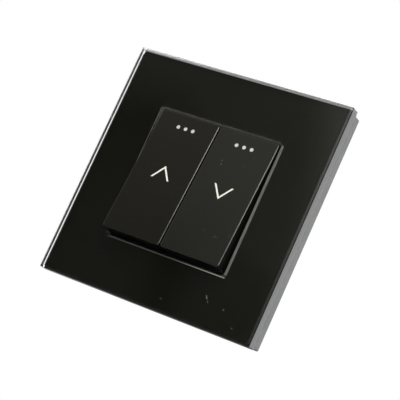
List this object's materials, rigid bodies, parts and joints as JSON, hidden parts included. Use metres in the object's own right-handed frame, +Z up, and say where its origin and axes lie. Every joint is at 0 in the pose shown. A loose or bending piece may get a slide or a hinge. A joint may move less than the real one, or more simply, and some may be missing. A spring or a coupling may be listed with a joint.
{
  "type": "roller shutter switch",
  "caption": "Wall-mounted roller shutter switch: a square black glass panel with side-by-side up and down rocker keys that spring back.",
  "frame": {"origin": "the middle of the fixing slots, in the plane of the wall", "axes": "+X to the right and +Z up along the wall; the glass faces -Y and the housing goes into the wall along +Y"},
  "size_m": [0.086, 0.0364, 0.086],
  "materials": {
    "glass": "polished, with satin-ground edges",
    "black_film": "opaque black print",
    "tape": "thin foam tape",
    "grey_plastic": "fine satin moulding",
    "bracket_steel": "zinc-plated sheet",
    "black_housing": "matt moulding",
    "screw_steel": "plated",
    "key_black": "satin moulding",
    "arrow_white": "satin",
    "pipe_white": "translucent",
    "rocker_plastic": "self-coloured moulding",
    "copper_strip": "stamped strip",
    "silver": "polished",
    "spring_steel": "drawn wire",
    "brass": "machined",
    "board_green": "coated board",
    "led_body": "moulded lens",
    "resistor_black": "ceramic chip"
  },
  "bodies": {
    "root": {"glass_panel": "glass", "backing_film": "black_film", "panel_adhesive": "tape", "panel_frame": "grey_plastic", "mounting_bracket": "bracket_steel", "mechanism_cover": "black_housing", "mechanism_shell": "black_housing", "mechanism_base": "black_housing", "contact_supports": "black_housing", "housing_screws": "screw_steel", "common_bar": "copper_strip", "fixed_tips": "silver", "line_terminal": "brass", "neutral_terminal": "brass", "up_terminal": "brass", "down_terminal": "brass", "terminal_screws": "screw_steel", "led_board": "board_green", "indicator_leds": "led_body", "led_resistors": "resistor_black", "board_pins": "brass", "up_return_spring": "spring_steel", "up_contact": "copper_strip", "down_return_spring": "spring_steel", "down_contact": "copper_strip"},
    "up_key": {"up_key_cap": "key_black", "up_arrow": "arrow_white", "up_light_pipe": "pipe_white", "up_key_carrier": "rocker_plastic"},
    "up_push": {"up_plunger": "rocker_plastic", "up_bridge": "copper_strip", "up_bridge_tips": "silver"},
    "down_key": {"down_key_cap": "key_black", "down_arrow": "arrow_white", "down_light_pipe": "pipe_white", "down_key_carrier": "rocker_plastic"},
    "down_push": {"down_plunger": "rocker_plastic", "down_bridge": "copper_strip", "down_bridge_tips": "silver"}
  },
  "joints": [
    {"name": "up_key_rock", "type": "hinge", "parent": "root", "child": "up_key", "pos_m": [-0.01192, -0.0051, -0.0002], "axis": [1, 0, 0], "range_deg": [0, 11.4], "stiffness_Nm_per_rad": 0.2, "springref_deg": -5.73},
    {"name": "up_plunger_slide", "type": "slide", "parent": "root", "child": "up_push", "axis": [0, 1, 0], "range_m": [0, 0.00183], "deforming": ["up_return_spring"]},
    {"name": "down_key_rock", "type": "hinge", "parent": "root", "child": "down_key", "pos_m": [0.01192, -0.0051, -0.0002], "axis": [1, 0, 0], "range_deg": [0, 11.4], "stiffness_Nm_per_rad": 0.2, "springref_deg": -5.73},
    {"name": "down_plunger_slide", "type": "slide", "parent": "root", "child": "down_push", "axis": [0, 1, 0], "range_m": [0, 0.00183], "deforming": ["down_return_spring"]}
  ],
  "couplings": [
    {"joint": "up_key_rock", "follows": "up_plunger_slide", "rad_per_m": 108.7},
    {"joint": "down_key_rock", "follows": "down_plunger_slide", "rad_per_m": 108.7}
  ]
}
